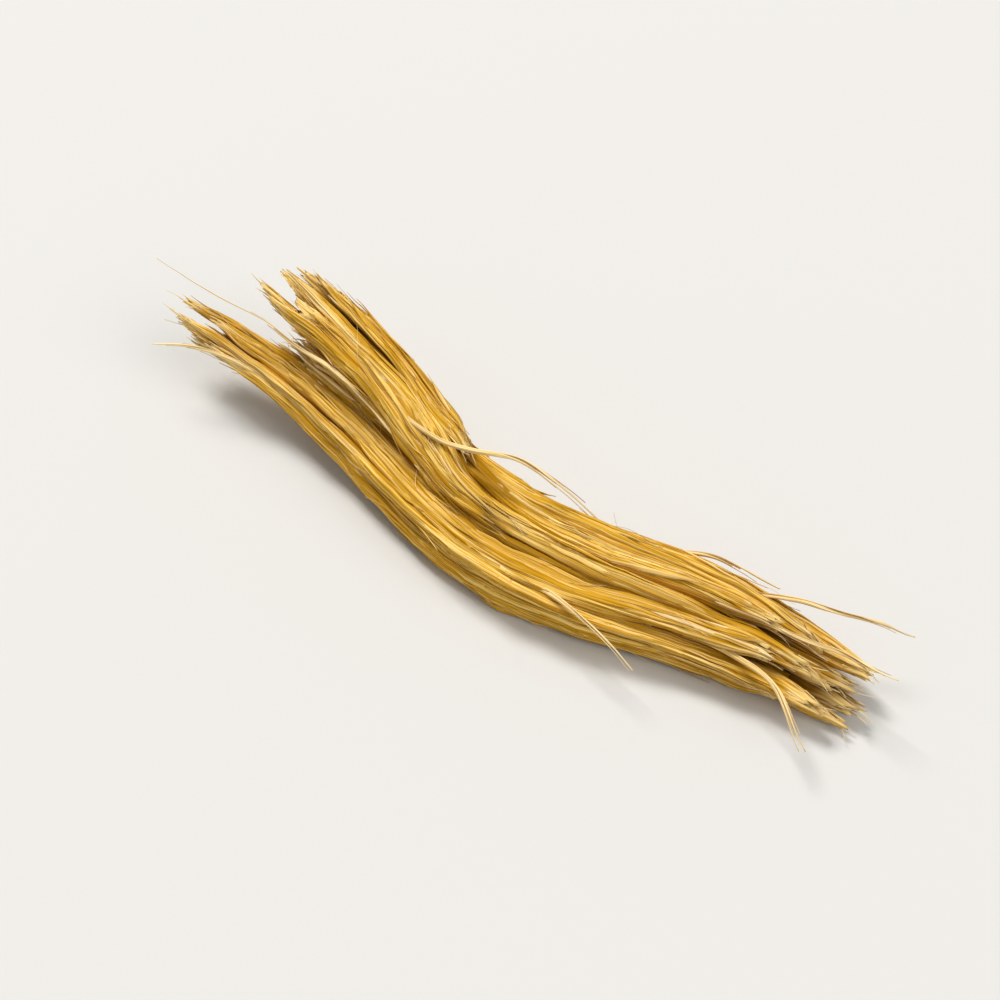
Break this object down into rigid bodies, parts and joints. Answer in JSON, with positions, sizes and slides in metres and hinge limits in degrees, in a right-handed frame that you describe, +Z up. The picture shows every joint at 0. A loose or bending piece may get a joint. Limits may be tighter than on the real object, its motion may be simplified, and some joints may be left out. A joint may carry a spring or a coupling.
{
  "type": "dried licorice root strip",
  "caption": "Long curved strip of dried licorice root, torn along the grain into a bundle of golden splinters with a raised split tongue and loose fibres. It lies flat.",
  "frame": {"origin": "bottom centre of the strip's box, on the surface that it lies on", "axes": "+X along the grain, from the end with the raised tongue to the other frayed end; +Y across the grain, from the band to the lobe; +Z up from the surface"},
  "size_m": [0.0468, 0.0104, 0.0065],
  "materials": {
    "root_wood": "raw dry root wood, matte, golden yellow with pale cream fibre edges and brown grooves along the grain"
  },
  "bodies": {
    "root": {"root_strip": "root_wood"}
  },
  "joints": []
}
